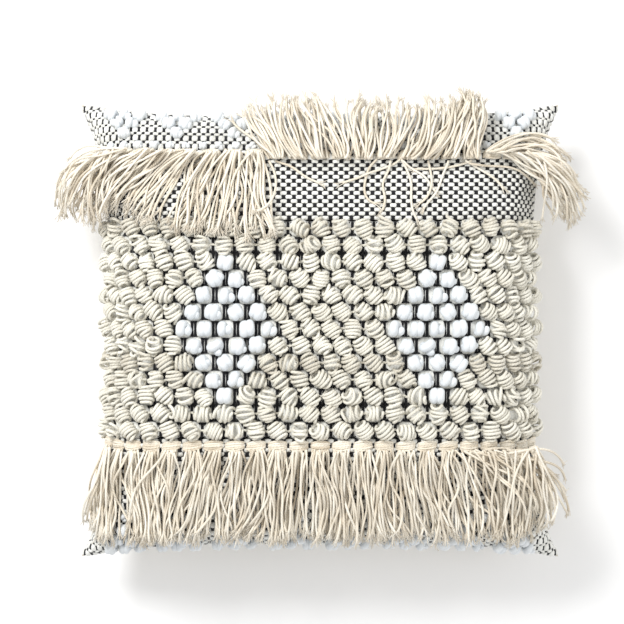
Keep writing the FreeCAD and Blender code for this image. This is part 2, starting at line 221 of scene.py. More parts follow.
class Surface:
    """A grid of points over the flat cloth, with normals; place() carries flat places and a lift onto it."""

    def __init__(self, grid, outward):
        weights = upsample_matrix(grid.shape[0] - 1, FINE)
        self.points = np.einsum("ai,ijc,bj->abc", weights, grid, weights)
        along_x = np.gradient(self.points, axis=0)
        along_y = np.gradient(self.points, axis=1)
        normals = np.cross(along_x, along_y) * outward
        self.normals = normals / np.maximum(np.linalg.norm(normals, axis=-1, keepdims=True), 1e-12)

    def sample(self, field, x, y):
        a = np.clip((np.asarray(x) / HALF + 1) / 2 * FINE, 0, FINE - 1e-6)
        b = np.clip((np.asarray(y) / HALF + 1) / 2 * FINE, 0, FINE - 1e-6)
        i, j = a.astype(int), b.astype(int)
        fa, fb = (a - i)[..., None], (b - j)[..., None]
        low = field[i, j] * (1 - fa) + field[i + 1, j] * fa
        high = field[i, j + 1] * (1 - fa) + field[i + 1, j + 1] * fa
        return low * (1 - fb) + high * fb

    def normal(self, x, y):
        found = self.sample(self.normals, x, y)
        return found / np.linalg.norm(found, axis=-1, keepdims=True)

    def place(self, x, y, lift=0.0):
        return self.sample(self.points, x, y) + self.normal(x, y) * np.asarray(lift)[..., None]

    def frame(self, x, y):
        """Tangents along the cloth's x and y, and the normal."""
        step = 1e-3
        along = self.sample(self.points, x + step, y) - self.sample(self.points, x - step, y)
        normal = self.normal(x, y)
        along -= normal * np.sum(along * normal, axis=-1, keepdims=True)
        along /= np.linalg.norm(along, axis=-1, keepdims=True)
        return along, np.cross(normal, along), normal


def filled_shape():
    front, back = inflate()
    depth = -back[..., 2]
    pressed = SEAM_Z - FLOOR_SOFTNESS * np.logaddexp(0, (SEAM_Z - depth) / FLOOR_SOFTNESS)
    at_rim = SEAM_Z - FLOOR_SOFTNESS * np.logaddexp(0, SEAM_Z / FLOOR_SOFTNESS)
    back[..., 2] = -(pressed - at_rim)
    slot = SLOT_HALF * (np.abs(unit_grid(GRID)[0]) * HALF < ZIP_SLOT + 0.001)
    front[:, :2, 2] = np.maximum(front[:, :2, 2], slot[:, :2])
    back[:, :2, 2] = np.minimum(back[:, :2, 2], -slot[:, :2])
    for grid in (front, back):
        grid[..., 2] += SEAM_Z
    return Surface(front, 1), Surface(back, -1)


# ---------------------------------------------------------------- meshes
def new_mesh(name, points, faces, uv=None, tint=None):
    """An object from arrays: faces is (n, 4) corner indices, uv (n, 4, 2), tint one number a point."""
    mesh = bpy.data.meshes.new(name)
    points = np.asarray(points, np.float32).reshape(-1, 3)
    faces = np.asarray(faces, np.int32)
    mesh.vertices.add(len(points))
    mesh.vertices.foreach_set("co", points.ravel())
    mesh.loops.add(faces.size)
    mesh.loops.foreach_set("vertex_index", faces.ravel())
    mesh.polygons.add(len(faces))
    mesh.polygons.foreach_set("loop_start", np.arange(0, faces.size, faces.shape[1], dtype=np.int32))
    mesh.polygons.foreach_set("use_smooth", np.ones(len(faces), bool))
    mesh.update(calc_edges=True)
    if uv is not None:
        layer = mesh.uv_layers.new(name="UVMap")
        layer.data.foreach_set("uv", np.asarray(uv, np.float32).ravel())
    if tint is not None:
        attribute = mesh.attributes.new("tint", "FLOAT", "POINT")
        attribute.data.foreach_set("value", np.asarray(tint, np.float32))
    mesh.validate()
    made = bpy.data.objects.new(name, mesh)
    bpy.context.scene.collection.objects.link(made)
    return made


def unit(vectors):
    return vectors / np.maximum(np.linalg.norm(vectors, axis=-1, keepdims=True), 1e-12)


def carried_normals(paths, first):
    """Normals along each path that turn as little as they can (paths is (strands, points, 3))."""
    tangents = unit(np.gradient(paths, axis=1))
    normals = np.empty_like(paths)
    current = np.broadcast_to(first, paths[:, 0].shape).astype(float)
    for k in range(paths.shape[1]):
        tangent = tangents[:, k]
        current = unit(current - tangent * np.sum(current * tangent, axis=-1, keepdims=True))
        normals[:, k] = current
    return tangents, normals


def tube_arrays(paths, radius, sides=8, up=None, flat=1.0, tint=None):
    """Closed tubes along paths (strands, points, 3). radius is a number, or one for every point.

    `up` gives the normals of a flattened section, whose height is `flat` times its width.
    """
    paths = np.asarray(paths, float)
    strands, count = paths.shape[:2]
    radius = np.broadcast_to(np.asarray(radius, float), (strands, count))
    if up is None:
        first = np.cross(unit(paths[:, 1] - paths[:, 0]), [0.31, 0.87, 0.39])
        tangents, normals = carried_normals(paths, unit(first))
    else:
        tangents = unit(np.gradient(paths, axis=1))
        normals = unit(up - tangents * np.sum(up * tangents, axis=-1, keepdims=True))
    sideways = np.cross(normals, tangents)
    angle = np.arange(sides) * 2 * math.pi / sides
    ring = (
        sideways[:, :, None] * np.cos(angle)[None, None, :, None]
        + normals[:, :, None] * (flat * np.sin(angle))[None, None, :, None]
    )
    body = paths[:, :, None] + ring * radius[:, :, None, None]
    outwards = tangents[:, [0, -1]] * np.array([-0.5, 0.5])[None, :, None]
    ends = paths[:, [0, -1]] + outwards * radius[:, [0, -1], None]
    per_strand = count * sides + 2
    points = np.concatenate([body.reshape(strands, -1, 3), ends], axis=1)

    k = np.arange(count - 1)[:, None] * sides
    s = np.arange(sides)[None, :]
    after = (s + 1) % sides
    walls = np.stack([k + s, k + after, k + sides + after, k + sides + s], axis=-1).reshape(-1, 4)
    start_cap = np.stack([after[0], s[0], np.full(sides, count * sides)], -1)
    last = (count - 1) * sides
    end_cap = np.stack([last + s[0], last + after[0], np.full(sides, count * sides + 1)], -1)

    length = np.concatenate(
        [np.zeros((strands, 1)), np.cumsum(np.linalg.norm(np.diff(paths, axis=1), axis=-1), axis=1)], axis=1
    )
    length = length + np.arange(strands)[:, None] * 0.0371
    round_share = np.array([[0, 1, 1, 0]]) * 1.0 / sides
    wall_v = np.tile((np.arange(sides) / sides)[:, None] + round_share, (count - 1, 1))
    start_u = np.repeat(length[:, :-1], sides, axis=1)
    end_u = np.repeat(length[:, 1:], sides, axis=1)
    wall_u = np.stack([start_u, start_u, end_u, end_u], axis=-1)
    uv = np.stack([wall_u, np.broadcast_to(wall_v, wall_u.shape)], axis=-1)

    offset = (np.arange(strands) * per_strand)[:, None, None]
    quads = (walls[None] + offset).reshape(-1, 4)
    tris = np.concatenate([start_cap[None] + offset, end_cap[None] + offset], axis=1).reshape(-1, 3)
    tint = np.zeros(strands) if tint is None else np.asarray(tint, float)
    return {
        "points": points.reshape(-1, 3),
        "quads": quads,
        "tris": tris,
        "uv": uv.reshape(-1, 4, 2),
        "tint": np.repeat(tint, per_strand),
    }


def joined(name, parts):
    """One object from several tube_arrays results."""
    offset = 0
    quads, tris = [], []
    for part in parts:
        quads.append(part["quads"] + offset)
        tris.append(part["tris"] + offset)
        offset += len(part["points"])
    points = np.concatenate([part["points"] for part in parts])
    quads, tris = np.concatenate(quads), np.concatenate(tris)
    uv = np.concatenate([part["uv"].reshape(-1, 2) for part in parts] + [np.zeros((tris.size, 2))])
    mesh = bpy.data.meshes.new(name)
    mesh.vertices.add(len(points))
    mesh.vertices.foreach_set("co", points.astype(np.float32).ravel())
    mesh.loops.add(quads.size + tris.size)
    mesh.loops.foreach_set("vertex_index", np.concatenate([quads.ravel(), tris.ravel()]).astype(np.int32))
    mesh.polygons.add(len(quads) + len(tris))
    starts = np.concatenate([np.arange(len(quads)) * 4, quads.size + np.arange(len(tris)) * 3])
    mesh.polygons.foreach_set("loop_start", starts.astype(np.int32))
    mesh.polygons.foreach_set("use_smooth", np.ones(len(starts), bool))
    mesh.update(calc_edges=True)
    layer = mesh.uv_layers.new(name="UVMap")
    layer.data.foreach_set("uv", uv.astype(np.float32).ravel())
    attribute = mesh.attributes.new("tint", "FLOAT", "POINT")
    attribute.data.foreach_set("value", np.concatenate([part["tint"] for part in parts]).astype(np.float32))
    made = bpy.data.objects.new(name, mesh)
    bpy.context.scene.collection.objects.link(made)
    return made


# ---------------------------------------------------------------- materials
class Nodes:
    """A node material under construction: new nodes, links and the shader's own sockets."""

    def __init__(self, name):
        self.material = bpy.data.materials.new(name)
        self.material.use_nodes = True
        self.tree = self.material.node_tree
        self.shader = self.tree.nodes["Principled BSDF"]

    def add(self, kind, **settings):
        node = self.tree.nodes.new("ShaderNode" + kind)
        for key, value in settings.items():
            if hasattr(node, key):
                setattr(node, key, value)
            else:
                node.inputs[key.replace("_", " ").title()].default_value = value
        return node

    def link(self, source, target):
        self.tree.links.new(source, target)

    def place(self, scale):
        """Object coordinates, scaled."""
        coordinates = self.add("TexCoord")
        mapping = self.add("Mapping")
        mapping.inputs["Scale"].default_value = scale
        self.link(coordinates.outputs["Object"], mapping.inputs["Vector"])
        return mapping.outputs["Vector"]

    def noise(self, vector, scale, detail=3.0):
        node = self.add("TexNoise")
        node.inputs["Scale"].default_value = scale
        node.inputs["Detail"].default_value = detail
        self.link(vector, node.inputs["Vector"])
        return node.outputs["Fac"]

    def math(self, operation, *values):
        node = self.add("Math", operation=operation)
        for socket, value in zip(node.inputs, values):
            if isinstance(value, (int, float)):
                socket.default_value = value
            else:
                self.link(value, socket)
        return node.outputs[0]

    def ramp(self, factor, stops):
        node = self.add("ValToRGB")
        while len(node.color_ramp.elements) < len(stops):
            node.color_ramp.elements.new(0.5)
        for element, (position, colour) in zip(node.color_ramp.elements, stops):
            element.position = position
            element.color = (*colour, 1)
        self.link(factor, node.inputs["Fac"])
        return node.outputs["Color"]

    def bump(self, height, distance, strength=1.0):
        node = self.add("Bump")
        node.inputs["Strength"].default_value = strength
        node.inputs["Distance"].default_value = distance
        self.link(height, node.inputs["Height"])
        self.link(node.outputs["Normal"], self.shader.inputs["Normal"])

    def finish(self, colour, roughness, sheen=0.0, metallic=0.0):
        self.link(colour, self.shader.inputs["Base Color"])
        self.shader.inputs["Roughness"].default_value = roughness
        self.shader.inputs["Sheen Weight"].default_value = sheen
        self.shader.inputs["Sheen Roughness"].default_value = 0.5
        self.shader.inputs["Specular IOR Level"].default_value = 0.25
        self.shader.inputs["Metallic"].default_value = metallic
        return self.material


def yarn_material(name, deep, body, pale, twist=0.0042, strand=0.0024, roughness=0.92):
    """Spun yarn: fine fibres, plies wound round the cord with painted shade in the grooves between them, and
    a tone that drifts from cord to cord.
    """
    nodes = Nodes(name)
    space = nodes.place((1, 1, 1))
    coordinates = nodes.add("TexCoord")
    separate = nodes.add("SeparateXYZ")
    nodes.link(coordinates.outputs["UV"], separate.inputs["Vector"])
    turns = nodes.math("MULTIPLY", separate.outputs["X"], 1 / twist)
    winding = nodes.math("ADD", turns, nodes.math("MULTIPLY", separate.outputs["Y"], 2.0))
    plies = nodes.math("ABSOLUTE", nodes.math("SINE", nodes.math("MULTIPLY", winding, math.pi)))
    fibres = nodes.noise(space, 1600.0, 2.0)
    drift = nodes.noise(space, 26.0, 2.0)
    tint = nodes.add("Attribute")
    tint.attribute_name = "tint"
    tone = nodes.math("ADD", nodes.math("MULTIPLY", drift, 0.55), nodes.math("MULTIPLY", fibres, 0.25))
    tone = nodes.math("ADD", tone, nodes.math("MULTIPLY", tint.outputs["Fac"], 0.30))
    # Painted shade: the ply stripes darken the colour in the grooves between the plies and leave their
    # crests lighter.
    shade = nodes.math("MULTIPLY", tone, nodes.math("ADD", nodes.math("MULTIPLY", plies, 0.22), 0.80))
    colour = nodes.ramp(shade, [(0.18, deep), (0.46, body), (0.78, pale)])
    height = nodes.math("ADD", plies, nodes.math("MULTIPLY", fibres, 0.5))
    nodes.bump(height, strand * 0.14)
    return nodes.finish(colour, roughness, sheen=0.25)


def plain_weave_material(name, dark, pale, threads=1100.0, roughness=0.9, sheen=0.15):
    """Flat woven cloth: fine crossing threads with a faint painted highlight where they rise and painted
    shade where they dip, with slubs.
    """
    nodes = Nodes(name)
    space = nodes.place((1, 1, 1))
    separate = nodes.add("SeparateXYZ")
    nodes.link(space, separate.inputs["Vector"])
    waves = []
    for axis in ("X", "Y"):
        phase = nodes.math("MULTIPLY", separate.outputs[axis], threads * math.pi)
        waves.append(nodes.math("SINE", phase))
    threads_up = nodes.math("MULTIPLY", waves[0], waves[1])
    slubs = nodes.noise(nodes.place((1, 9, 3)), 120.0, 3.0)
    drift = nodes.noise(space, 14.0, 2.0)
    tone = nodes.math("ADD", nodes.math("MULTIPLY", slubs, 0.45), nodes.math("MULTIPLY", drift, 0.45))
    # Painted light and shade: the raised threads are made a little lighter in colour and the sunk ones a
    # little darker.
    tone = nodes.math("ADD", tone, nodes.math("MULTIPLY", threads_up, 0.07))
    colour = nodes.ramp(tone, [(0.25, dark), (0.62, pale)])
    height = nodes.math("ADD", threads_up, nodes.math("MULTIPLY", slubs, 0.8))
    nodes.bump(height, 0.00018)
    return nodes.finish(colour, roughness, sheen=sheen)


def roving_material(name):
    """Soft unspun roving: smooth, with fine fibres along it."""
    nodes = Nodes(name)
    coordinates = nodes.add("TexCoord")
    mapping = nodes.add("Mapping")
    mapping.inputs["Scale"].default_value = (60, 9, 1)
    nodes.link(coordinates.outputs["UV"], mapping.inputs["Vector"])
    streaks = nodes.noise(mapping.outputs["Vector"], 3.0, 4.0)
    lumps = nodes.noise(nodes.place((1, 1, 1)), 90.0, 2.0)
    tone = nodes.math("ADD", nodes.math("MULTIPLY", streaks, 0.5), nodes.math("MULTIPLY", lumps, 0.5))
    stops = [(0.2, (0.58, 0.61, 0.64)), (0.5, (0.72, 0.75, 0.77)), (0.8, (0.80, 0.82, 0.83))]
    colour = nodes.ramp(tone, stops)
    nodes.bump(tone, 0.0006)
    return nodes.finish(colour, 0.85, sheen=0.3)


def metal_material(name, colour):
    nodes = Nodes(name)
    scratches = nodes.noise(nodes.place((30, 4, 4)), 80.0, 4.0)
    shade = nodes.ramp(scratches, [(0.3, tuple(c * 0.8 for c in colour)), (0.7, colour)])
    nodes.bump(scratches, 0.00004)
    return nodes.finish(shade, 0.34, metallic=1.0)


CREAM = yarn_material("cream_cord", (0.46, 0.41, 0.32), (0.72, 0.69, 0.60), (0.84, 0.82, 0.74))
FRINGE = yarn_material(
    "fringe_cord", (0.50, 0.41, 0.29), (0.78, 0.71, 0.59), (0.90, 0.86, 0.77), strand=0.0018
)
WHITE_YARN = yarn_material("white_weft", (0.50, 0.49, 0.45), (0.76, 0.76, 0.72), (0.86, 0.86, 0.83))
BLACK_YARN = yarn_material("black_warp", (0.004, 0.004, 0.005), (0.008, 0.008, 0.010), (0.018, 0.018, 0.021))
ROVING = roving_material("white_roving")
BLACK_CLOTH = plain_weave_material("black_ground", (0.004, 0.004, 0.005), (0.014, 0.014, 0.016))
CANVAS = plain_weave_material("natural_canvas", (0.50, 0.44, 0.33), (0.68, 0.63, 0.52))
COTTON = plain_weave_material("casing_cotton", (0.70, 0.69, 0.66), (0.84, 0.83, 0.80), threads=2200.0)
TAPE = plain_weave_material("zip_tape", (0.52, 0.47, 0.37), (0.68, 0.63, 0.53), threads=2600.0)
COIL = yarn_material("zip_coil", (0.45, 0.41, 0.32), (0.62, 0.57, 0.46), (0.70, 0.66, 0.56), roughness=0.45)
THREAD = yarn_material(
    "sewing_thread", (0.50, 0.46, 0.36), (0.70, 0.66, 0.56), (0.82, 0.79, 0.70), twist=0.0012
)
NICKEL = metal_material("nickel", (0.66, 0.65, 0.62))


def dress(made, material, body="cushion"):
    made.data.materials.clear()
    made.data.materials.append(material)
    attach(made, body)
    return made


# ---------------------------------------------------------------- cloth panels
front, back = filled_shape()


def closed_pair(name, outer, inner):
    """A closed mesh from two facing grids of points: outer seen counter-clockwise, inner behind it."""
    count = outer[..., 0].size
    index = np.arange(count).reshape(outer.shape[:2])
    top = grid_faces(index)
    rim = np.concatenate([index[:, 0], index[-1, 1:], index[-2::-1, -1], index[0, -2:0:-1]])
    after = np.roll(rim, -1)
    wall = np.stack([rim, rim + count, after + count, after], axis=-1)
    faces = np.concatenate([top, top[:, ::-1] + count, wall])
    return new_mesh(name, np.concatenate([outer.reshape(-1, 3), inner.reshape(-1, 3)]), faces)


def shell(name, surface, lift, thickness, cells, shrink=0.0):
    """A closed two-layer sheet of cloth that follows a surface."""
    x, y = unit_grid(cells)
    layers = [surface.place(x * HALF, y * HALF, height) for height in (lift, lift - thickness)]
    for layer in layers:
        layer[..., :2] *= 1 - shrink
    return closed_pair(name, *layers)


# ---------------------------------------------------------------- weaving
# A row of weaving is (y, height, phase): the weft shows over the warps of one phase and dips under the rest.
# Where phase is a list of places, the weft shows round each of them and dips only half way between.
WEAVE_LIFT = 0.0010
WEAVE_SWING = 0.0010


def beat(x, pitch, phase):
    """1 where the weft shows, -1 where the warp does."""
    if np.ndim(phase):
        count = np.interp(x, phase, np.arange(len(phase)))
        favour = 0.4
    else:
        count = (x / pitch + phase) / 2
        favour = 0
    return np.clip(2.1 * (np.cos(2 * math.pi * count) + favour), -1, 1)


def weft(row, pitch, rng):
    """One pick of white weft, which swells where it shows and narrows where it dips."""
    y, height, phase = row
    x = np.linspace(-HALF * 0.998, HALF * 0.998, int(2 * HALF / min(pitch, 0.008)) * 4 + 1)
    over = beat(x, pitch, phase)
    wander = 0.0002 * np.interp(x, np.linspace(-HALF, HALF, 60), rng.normal(size=60))
    level = np.full_like(x, y)
    path = front.place(x, level + wander, WEAVE_LIFT + WEAVE_SWING * over)
    width = height / 2 * (0.94 + 0.14 * over)
    thickness = min(0.0014 + 0.08 * height, 0.0022)
    up = front.normal(x, level)[None]
    flat = 2 * thickness / height
    return tube_arrays(path[None], width[None], sides=8, up=up, flat=flat, tint=[rng.random()])


def warps(rows, pitch, rng, ends):
    """The black warp ends, level over the whole height of each row that they cover."""
    columns = int(HALF / pitch)
    within = (np.arange(ends) - (ends - 1) / 2) * pitch / ends
    x = (np.arange(-columns, columns + 1)[:, None] * pitch + within).ravel()
    x = x[np.abs(x) < HALF * 0.995]
    places, sides = [], []
    for y, height, phase in rows:
        for share in (0.36, 0.13, -0.13, -0.36):
            places.append(y + share * height)
            sides.append(-beat(x, pitch, phase))
    grid_x, grid_y = np.meshgrid(x, places, indexing="ij")
    path = front.place(grid_x, grid_y, WEAVE_LIFT + WEAVE_SWING * np.array(sides).T)
    up = front.normal(grid_x, grid_y)
    return tube_arrays(path, pitch / ends * 0.43, sides=8, up=up, flat=0.5, tint=rng.random(len(x)))


def check_rows(top, bottom):
    count = round((top - bottom) / CHECK_ROW)
    step = (top - bottom) / count
    return [(top - (k + 0.5) * step, step, k % 2) for k in range(count)]


def block_rows(outer, inner):
    """Tall picks in one phase with thin picks between them in the other, from the edge seam inwards."""
    inwards = math.copysign(1, inner - outer)
    rows = []
    at = outer
    while inwards * (inner - at) > BLOCK_THIN / 2:
        height = BLOCK_THIN if len(rows) % 2 else BLOCK_TALL
        rows.append((at + inwards * height / 2, height, len(rows) % 2))
        at += inwards * height
    return rows if inwards < 0 else rows[::-1]


def knot_ground_rows():
    """Under each knot the ground shows white weft, and black warp in the gaps between the knots of a row."""
    rows = []
    for row in range(KNOT_ROWS):
        bobbles = [place for centre in DIAMOND_CENTRES for place in diamond_row(centre, row)]
        rows.append((row_y(row), ROW_PITCH, sorted(knot_places(row) + bobbles)))
    return rows


def woven_bands():
    bands = {
        "upper_check": (check_rows(UPPER_ROOT, KNOTS_TOP), CHECK_PITCH, 1),
        "lower_check": (check_rows(KNOTS_BOTTOM, LOWER_BAND), CHECK_PITCH, 1),
        "upper_block": (block_rows(HALF * 0.996, UPPER_ROOT), BLOCK_PITCH, 1),
        "lower_block": (block_rows(-HALF * 0.996, LOWER_BAND), BLOCK_PITCH, 1),
        "knot_ground": (knot_ground_rows(), KNOT_PITCH / 2, 3),
    }
    made = []
    for seed, (name, (rows, pitch, ends)) in enumerate(bands.items()):
        rng = np.random.default_rng(seed)
        made.append(dress(joined(f"{name}_weft", [weft(row, pitch, rng) for row in rows]), WHITE_YARN))
        made.append(dress(joined(f"{name}_warp", [warps(rows, pitch, rng, ends)]), BLACK_YARN))
    return made


# ---------------------------------------------------------------- knots and bobbles
def coil(at, axis, up, length, turns, coil_radius, rng, points, looseness):
    """A cord wound into a barrel round `axis`, which closes at both ends and dives back into the cloth."""
    side = np.cross(axis, up)
    t = np.linspace(0, 1, points)
    angle = -math.pi / 2 + 2 * math.pi * turns * t + rng.uniform(-0.5, 0.5)
    closing = np.sqrt(1 - 0.72 * (2 * t - 1) ** 2)
    uneven = np.interp(t, np.linspace(0, 1, 12), 1 + looseness * rng.normal(size=12))
    radius = coil_radius * closing * uneven
    tilt = np.interp(t, np.linspace(0, 1, 7), rng.normal(size=7)) * looseness * 0.022
    along = length * (t - 0.5) + tilt * np.sin(angle + rng.uniform(0, 6))
    return (
        at
        + axis * along[:, None]
        + side * (radius * np.cos(angle))[:, None]
        + up * (radius * np.sin(angle))[:, None]
    )


def turned(x, y, degrees):
    """The cloth's own frame at a place, with its first axis turned in the plane of the cloth."""
    along, across, normal = front.frame(np.array(x), np.array(y))
    angle = math.radians(degrees)
    return along * math.cos(angle) + across * math.sin(angle), normal


def row_y(row):
    return KNOTS_TOP - (row + 0.5) * ROW_PITCH


def diamond_row(centre, row):
    count = max(0, DIAMOND_WIDEST - abs(row - DIAMOND_MIDDLE_ROW))
    return [centre + (k - (count - 1) / 2) * KNOT_PITCH for k in range(count)]


def knot_places(row):
    """The knots of a row, spaced evenly between its ends and the bobbles of the diamonds."""
    end = (KNOTS_IN_ROW - row % 2 - 1) / 2 * KNOT_PITCH
    places = [-end]
    start = -end
    stops = [bobbles for bobbles in (diamond_row(centre, row) for centre in DIAMOND_CENTRES) if bobbles]
    for bobbles in stops:
        places += list(np.linspace(start, bobbles[0], round((bobbles[0] - start) / KNOT_PITCH) + 1)[1:-1])
        start = bobbles[-1]
    return places + list(np.linspace(start, end, round((end - start) / KNOT_PITCH) + 1)[1:])


def ground_run(start_x, end_x, y, rng):
    """The row's cord where it lies on the ground between knots, and under the bobbles of a diamond."""
    count = max(3, int(abs(end_x - start_x) / 0.004))
    x = np.linspace(start_x, end_x, count + 2)[1:-1]
    lift = 0.0018 if end_x - start_x < KNOT_PITCH else -0.0004
    return front.place(x, y + 0.0006 * rng.normal(size=count), lift)


def knot(x, y, rng):
    """One pulled-up knot; about one in four is a loose tangle that points its own way."""
    messy = rng.random() < 0.26
    heading = rng.normal(-52, 15)
    lean = rng.normal() * 0.16
    turns = rng.choice([4.5, 5.0, 5.5])
    looseness = 0.075
    if messy:
        heading += rng.choice([50, -35])
        lean = rng.normal() * 0.3
        turns -= 1
        looseness = 0.12
    axis, up = turned(x, y, heading)
    axis = unit(axis + up * lean)
    up = unit(up - axis * np.sum(axis * up))
    at = front.place(np.array(x), np.array(y), KNOT_COIL * 0.9)
    size = rng.uniform(0.97, 1.09)
    return coil(at, axis, up, KNOT_LENGTH * size, turns, KNOT_COIL * size, rng, 92, looseness)


def knot_row(row):
    """One cord laid along the row and wound up into a knot at every place outside the diamonds."""
    rng = np.random.default_rng(100 + row)
    y = row_y(row)
    path = []
    reached = -HALF * 0.985
    for x in knot_places(row):
        x += rng.normal() * 0.0009
        path.append(ground_run(reached, x - 0.006, y, rng))
        path.append(knot(x, y + rng.normal() * 0.0009, rng))
        reached = x + 0.006
    path.append(ground_run(reached, HALF * 0.985, y, rng))
    path = np.concatenate(path)
    cord = tube_arrays(path[None], KNOT_CORD, sides=8, tint=[rng.random()])
    made = dress(joined(f"knot_cord_{row + 1:02d}", [cord]), CREAM)
    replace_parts(made, f"knot_row_{row + 1:02d}")
    return made


def bobble(x, y, size, rng, heading=0.0):
    """A fat roving pulled up into a soft coil."""
    axis, up = turned(x, y, heading + rng.normal(0, 26))
    cord = BOBBLE_CORD * size
    coil_radius = BOBBLE_COIL * size
    at = front.place(np.array(x), np.array(y), coil_radius + cord * 0.6)
    turns = rng.choice([1.5, 2.0, 2.5])
    path = coil(at, axis, up, BOBBLE_LENGTH * size, turns, coil_radius, rng, 40, 0.03)
    t = np.linspace(0, 1, len(path))
    radius = cord * (1 - 0.45 * np.abs(2 * t - 1) ** 4)
    return tube_arrays(path[None], radius[None], sides=14, tint=[rng.random()])


def diamond(name, centre, seed):
    rng = np.random.default_rng(seed)
    parts = [
        bobble(x + rng.normal() * 0.0012, row_y(row) + rng.normal() * 0.001, rng.uniform(0.94, 1.08), rng)
        for row in range(KNOT_ROWS)
        for x in diamond_row(centre, row)
    ]
    made = dress(joined(name, parts), ROVING)
    return made


def band_bobbles(name, sign):
    """Triangles of bobbles along one edge of the cover, and a row of low ones next to the fringe."""
    rng = np.random.default_rng(402 + sign)
    parts = []
    for triangle in range(TRIANGLES):
        centre = (triangle - (TRIANGLES - 1) / 2) * TRIANGLE_PITCH
        for row in range(3):
            y = sign * (HALF - TRIANGLE_TIP + row * TRIANGLE_ROW_PITCH)
            for k in range(row + 1):
                x = centre + (k - row / 2) * BAND_BOBBLE_PITCH
                parts.append(bobble(x, y, rng.uniform(0.76, 0.86), rng))
    for k in range(BORDER_BOBBLES):
        x = (k - (BORDER_BOBBLES - 1) / 2) * BAND_BOBBLE_PITCH
        parts.append(bobble(x, sign * (HALF - BORDER_ROW), rng.uniform(0.50, 0.58), rng))
    made = dress(joined(name, parts), ROVING)
    return made


# ---------------------------------------------------------------- fringes
class Relief:
    """The height of everything laid down so far, seen from above, on a square grid of the plan."""

    CELL = 0.00125

    def __init__(self):
        self.low = np.array([-0.365, -0.365])
        size = int(0.73 / self.CELL) + 1
        self.height = np.zeros((size, size))

    def cells(self, points):
        index = np.round((points[..., :2] - self.low) / self.CELL).astype(int)
        return np.clip(index, 0, self.height.shape[0] - 1)

    def add(self, points, rise=0.0, reach=1):
        index = self.cells(points)
        top = points[..., 2] + rise
        for i in range(-reach, reach + 1):
            for j in range(-reach, reach + 1):
                if i * i + j * j <= reach * reach + 0.5:
                    a = np.clip(index[..., 0] + i, 0, self.height.shape[0] - 1)
                    b = np.clip(index[..., 1] + j, 0, self.height.shape[0] - 1)
                    np.maximum.at(self.height, (a, b), top)

    def add_object(self, made):
        points = np.empty(len(made.data.vertices) * 3)
        made.data.vertices.foreach_get("co", points)
        self.add(points.reshape(-1, 3))

    def at(self, points):
        index = self.cells(points)
        return self.height[index[..., 0], index[..., 1]]


STRAND_POINTS = 30


def drape(relief, plan, root_height, droop, radius):
    """Heights of a cord over the relief: it rests on the tops and falls away in parabolas between them."""
    step = np.linalg.norm(np.diff(plan, axis=0), axis=1)
    run = np.concatenate([[0], np.cumsum(step)])
    rest = relief.at(plan) + radius
    rest[0] = root_height
    fall = droop * (run[:, None] - run[None]) ** 2
    return np.max(rest[None] - fall, axis=1)


def lay_strand(relief, root, angles, length, rng, radius, droop=26.0):
    """A cord laid from its root along headings (start, middle, end), at the lowest of a few tries."""
    best = None
    fine = 64
    s = np.linspace(0, 1, fine)
    for _ in range(5):
        heading = np.interp(s, (0, 0.5, 1), np.array(angles) + rng.normal(0, (12, 9, 13)))
        heading += rng.normal() * 11 * np.sin(2 * math.pi * (s * rng.uniform(0.8, 1.7) + rng.random()))
        direction = np.stack([np.cos(np.radians(heading)), np.sin(np.radians(heading))], axis=-1)
        steps = direction[1:] * length / (fine - 1)
        plan = root[:2] + np.concatenate([np.zeros((1, 2)), np.cumsum(steps, axis=0)])
        path = np.concatenate([plan, drape(relief, plan, root[2], droop, radius)[:, None]], axis=1)
        travelled = np.concatenate([[0], np.cumsum(np.linalg.norm(np.diff(path, axis=0), axis=1))])
        path = along_path(path, travelled, np.linspace(0, min(length, travelled[-1]), STRAND_POINTS))
        cost = np.mean(path[:, 2]) + rng.random() * 0.0015
        if best is None or cost < best[0]:
            best = (cost, path)
    path = best[1]
    share = np.linspace(0, 1, STRAND_POINTS)
    relief.add(along_path(path, share, np.linspace(0, 1, 120)), rise=radius * 0.65)
    return path


def along_path(path, measure, wanted):
    """Points of a path at the wanted values of a measure along it."""
    return np.stack([np.interp(wanted, measure, path[:, axis]) for axis in range(3)], axis=-1)


FIBRES = 7


def frayed_end(path, radius, rng):
    """Fine fibres that open out of a cord's cut end."""
    tip, direction = path[-1], unit(path[-1] - path[-3])
    side = unit(np.cross(direction, [0.2, 0.1, 0.97]))
    up = np.cross(side, direction)
    t = np.linspace(0, 1, 5)[None, :, None]
    angle = rng.uniform(0, 2 * math.pi, (FIBRES, 1, 1))
    out = side * np.cos(angle) + up * np.sin(angle) * 0.6
    length = rng.uniform(0.008, 0.015, (FIBRES, 1, 1))
    bend = side * rng.normal(0, 0.18, (FIBRES, 1, 1))
    opening = out * rng.uniform(0.05, 0.26, (FIBRES, 1, 1))
    fibres = tip - direction * 0.004 + out * radius * 0.6
    fibres = fibres + length * (direction * t + opening * t**1.5 + bend * t**2)
    fibres[..., 2] = np.maximum(fibres[..., 2], 0.001)
    return tube_arrays(fibres, 0.00065 * (1 - 0.4 * t[..., 0]), sides=4, tint=rng.random(FIBRES))


def tassel_x(k):
    return (k - (TASSELS - 1) / 2) * TASSEL_PITCH


def wrap(x, y, rng, cords=5):
    """The cow hitch that ties a tassel on: cords side by side, pinched together at both ends."""
    across = np.linspace(-1, 1, 15)
    paths = []
    slant = rng.normal(0.0008, 0.0006)
    for k in range(cords):
        place = (k - (cords - 1) / 2) * 0.0027
        pinch = 1 - 0.5 * across**2
        xs = x + across * 0.0112 + 0.0003 * rng.normal()
        ys = y + place * pinch + slant * across + 0.0002 * rng.normal()
        lift = 0.0004 + 0.0068 * np.sqrt(np.maximum(0, 1 - across**2)) + 0.0004 * rng.normal()
        paths.append(front.place(xs, ys, lift))
    return tube_arrays(np.array(paths), 0.00155, sides=8, tint=rng.random(cords))


